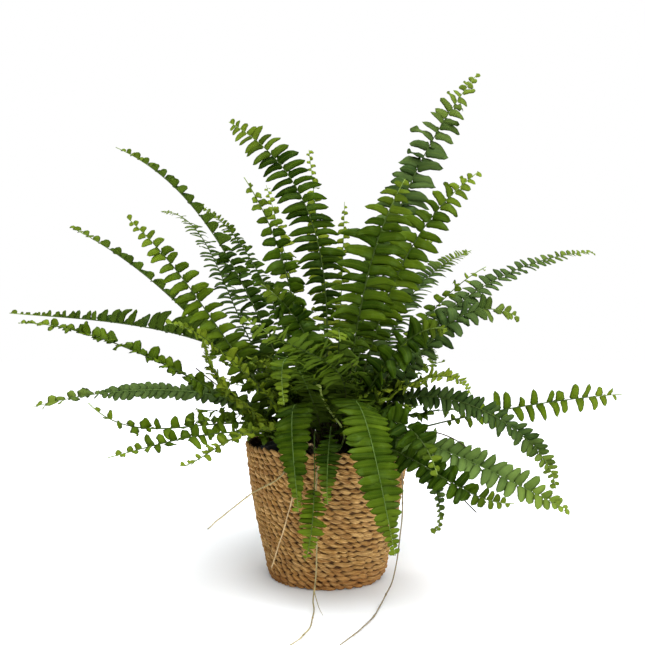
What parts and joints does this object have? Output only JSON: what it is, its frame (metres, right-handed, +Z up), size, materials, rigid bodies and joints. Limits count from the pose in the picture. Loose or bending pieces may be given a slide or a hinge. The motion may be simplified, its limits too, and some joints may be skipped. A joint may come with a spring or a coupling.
{
  "type": "fern in a basket",
  "caption": "Boston fern with arching fronds in a plastic nursery pot, standing in a tapered basket of wound seagrass rope.",
  "frame": {"origin": "middle of the basket's flat underside, on the surface it stands on", "axes": "+Z up along the basket's axis, -Y towards the plant's front, +X to its right"},
  "size_m": [0.6201, 0.4807, 0.5203],
  "materials": {
    "seagrass": "twisted dry seagrass rope, matt, tan to brown with darker gaps",
    "liner_film": "thin black film, slightly glossy and creased",
    "pot_plastic": "thin black moulded plastic, satin",
    "soil": "moist crumbly peat compost",
    "rootstock": "dark scaly rootstock with old stalks",
    "leaf_deep_green": "satin leaf, dark green, paler beneath",
    "leaf_blue_green": "satin leaf with a cool bluish gloss",
    "leaf_bright_green": "satin leaf, fresh mid green",
    "leaf_yellow_green": "young leaf, pale yellow-green",
    "runner_stem": "thin wiry stem, straw to brown"
  },
  "bodies": {
    "root": {"basket": "seagrass", "basket_liner": "liner_film", "nursery_pot": "pot_plastic", "potting_soil": "soil", "crown": "rootstock", "frond_left_high_arch": "leaf_deep_green", "frond_left_back_fine": "leaf_deep_green", "frond_left_mid_arch": "leaf_deep_green", "frond_left_open": "leaf_bright_green", "frond_left_back_hooked": "leaf_blue_green", "frond_tall_dark": "leaf_deep_green", "frond_left_upright": "leaf_deep_green", "frond_back_pale_left": "leaf_yellow_green", "frond_back_pale_tall": "leaf_yellow_green", "frond_back_pale_short": "leaf_yellow_green", "frond_tallest": "leaf_blue_green", "frond_front_bright": "leaf_bright_green", "frond_right_bright": "leaf_bright_green", "frond_right_back_fine": "leaf_blue_green", "frond_right_high_arch": "leaf_blue_green", "frond_right_mid": "leaf_blue_green", "frond_right_short": "leaf_bright_green", "frond_right_level": "leaf_bright_green", "frond_right_arch_down": "leaf_blue_green", "frond_right_low_broad": "leaf_bright_green", "frond_right_low_dark": "leaf_deep_green", "frond_right_hanging_small": "leaf_blue_green", "frond_right_yellow_small": "leaf_yellow_green", "frond_front_hanging_broad": "leaf_bright_green", "frond_front_hanging_left": "leaf_bright_green", "frond_front_hanging_dark": "leaf_deep_green", "frond_front_hanging_bright": "leaf_bright_green", "frond_front_hanging_short": "leaf_bright_green", "frond_left_long": "leaf_deep_green", "frond_left_long_lower": "leaf_bright_green", "frond_left_level": "leaf_blue_green", "frond_left_low": "leaf_bright_green", "frond_left_low_front": "leaf_bright_green", "frond_left_clumped": "leaf_yellow_green", "frond_left_thin_young": "leaf_yellow_green", "frond_left_yellow_small": "leaf_yellow_green", "frond_front_reaching_left": "leaf_bright_green", "frond_inner_left": "leaf_deep_green", "frond_inner_right": "leaf_deep_green", "frond_inner_front": "leaf_deep_green", "frond_inner_low_right": "leaf_deep_green", "frond_back_upright": "leaf_deep_green", "frond_back_left": "leaf_deep_green", "frond_back_right": "leaf_deep_green", "frond_back_left_low": "leaf_deep_green", "frond_back_middle": "leaf_deep_green", "frond_back_right_low": "leaf_deep_green", "frond_back_hanging": "leaf_deep_green", "frond_back_right_upright": "leaf_deep_green", "crozier": "leaf_yellow_green", "runner_left": "runner_stem", "runner_front": "runner_stem", "runner_right": "runner_stem", "runner_dry": "runner_stem"}
  },
  "joints": []
}
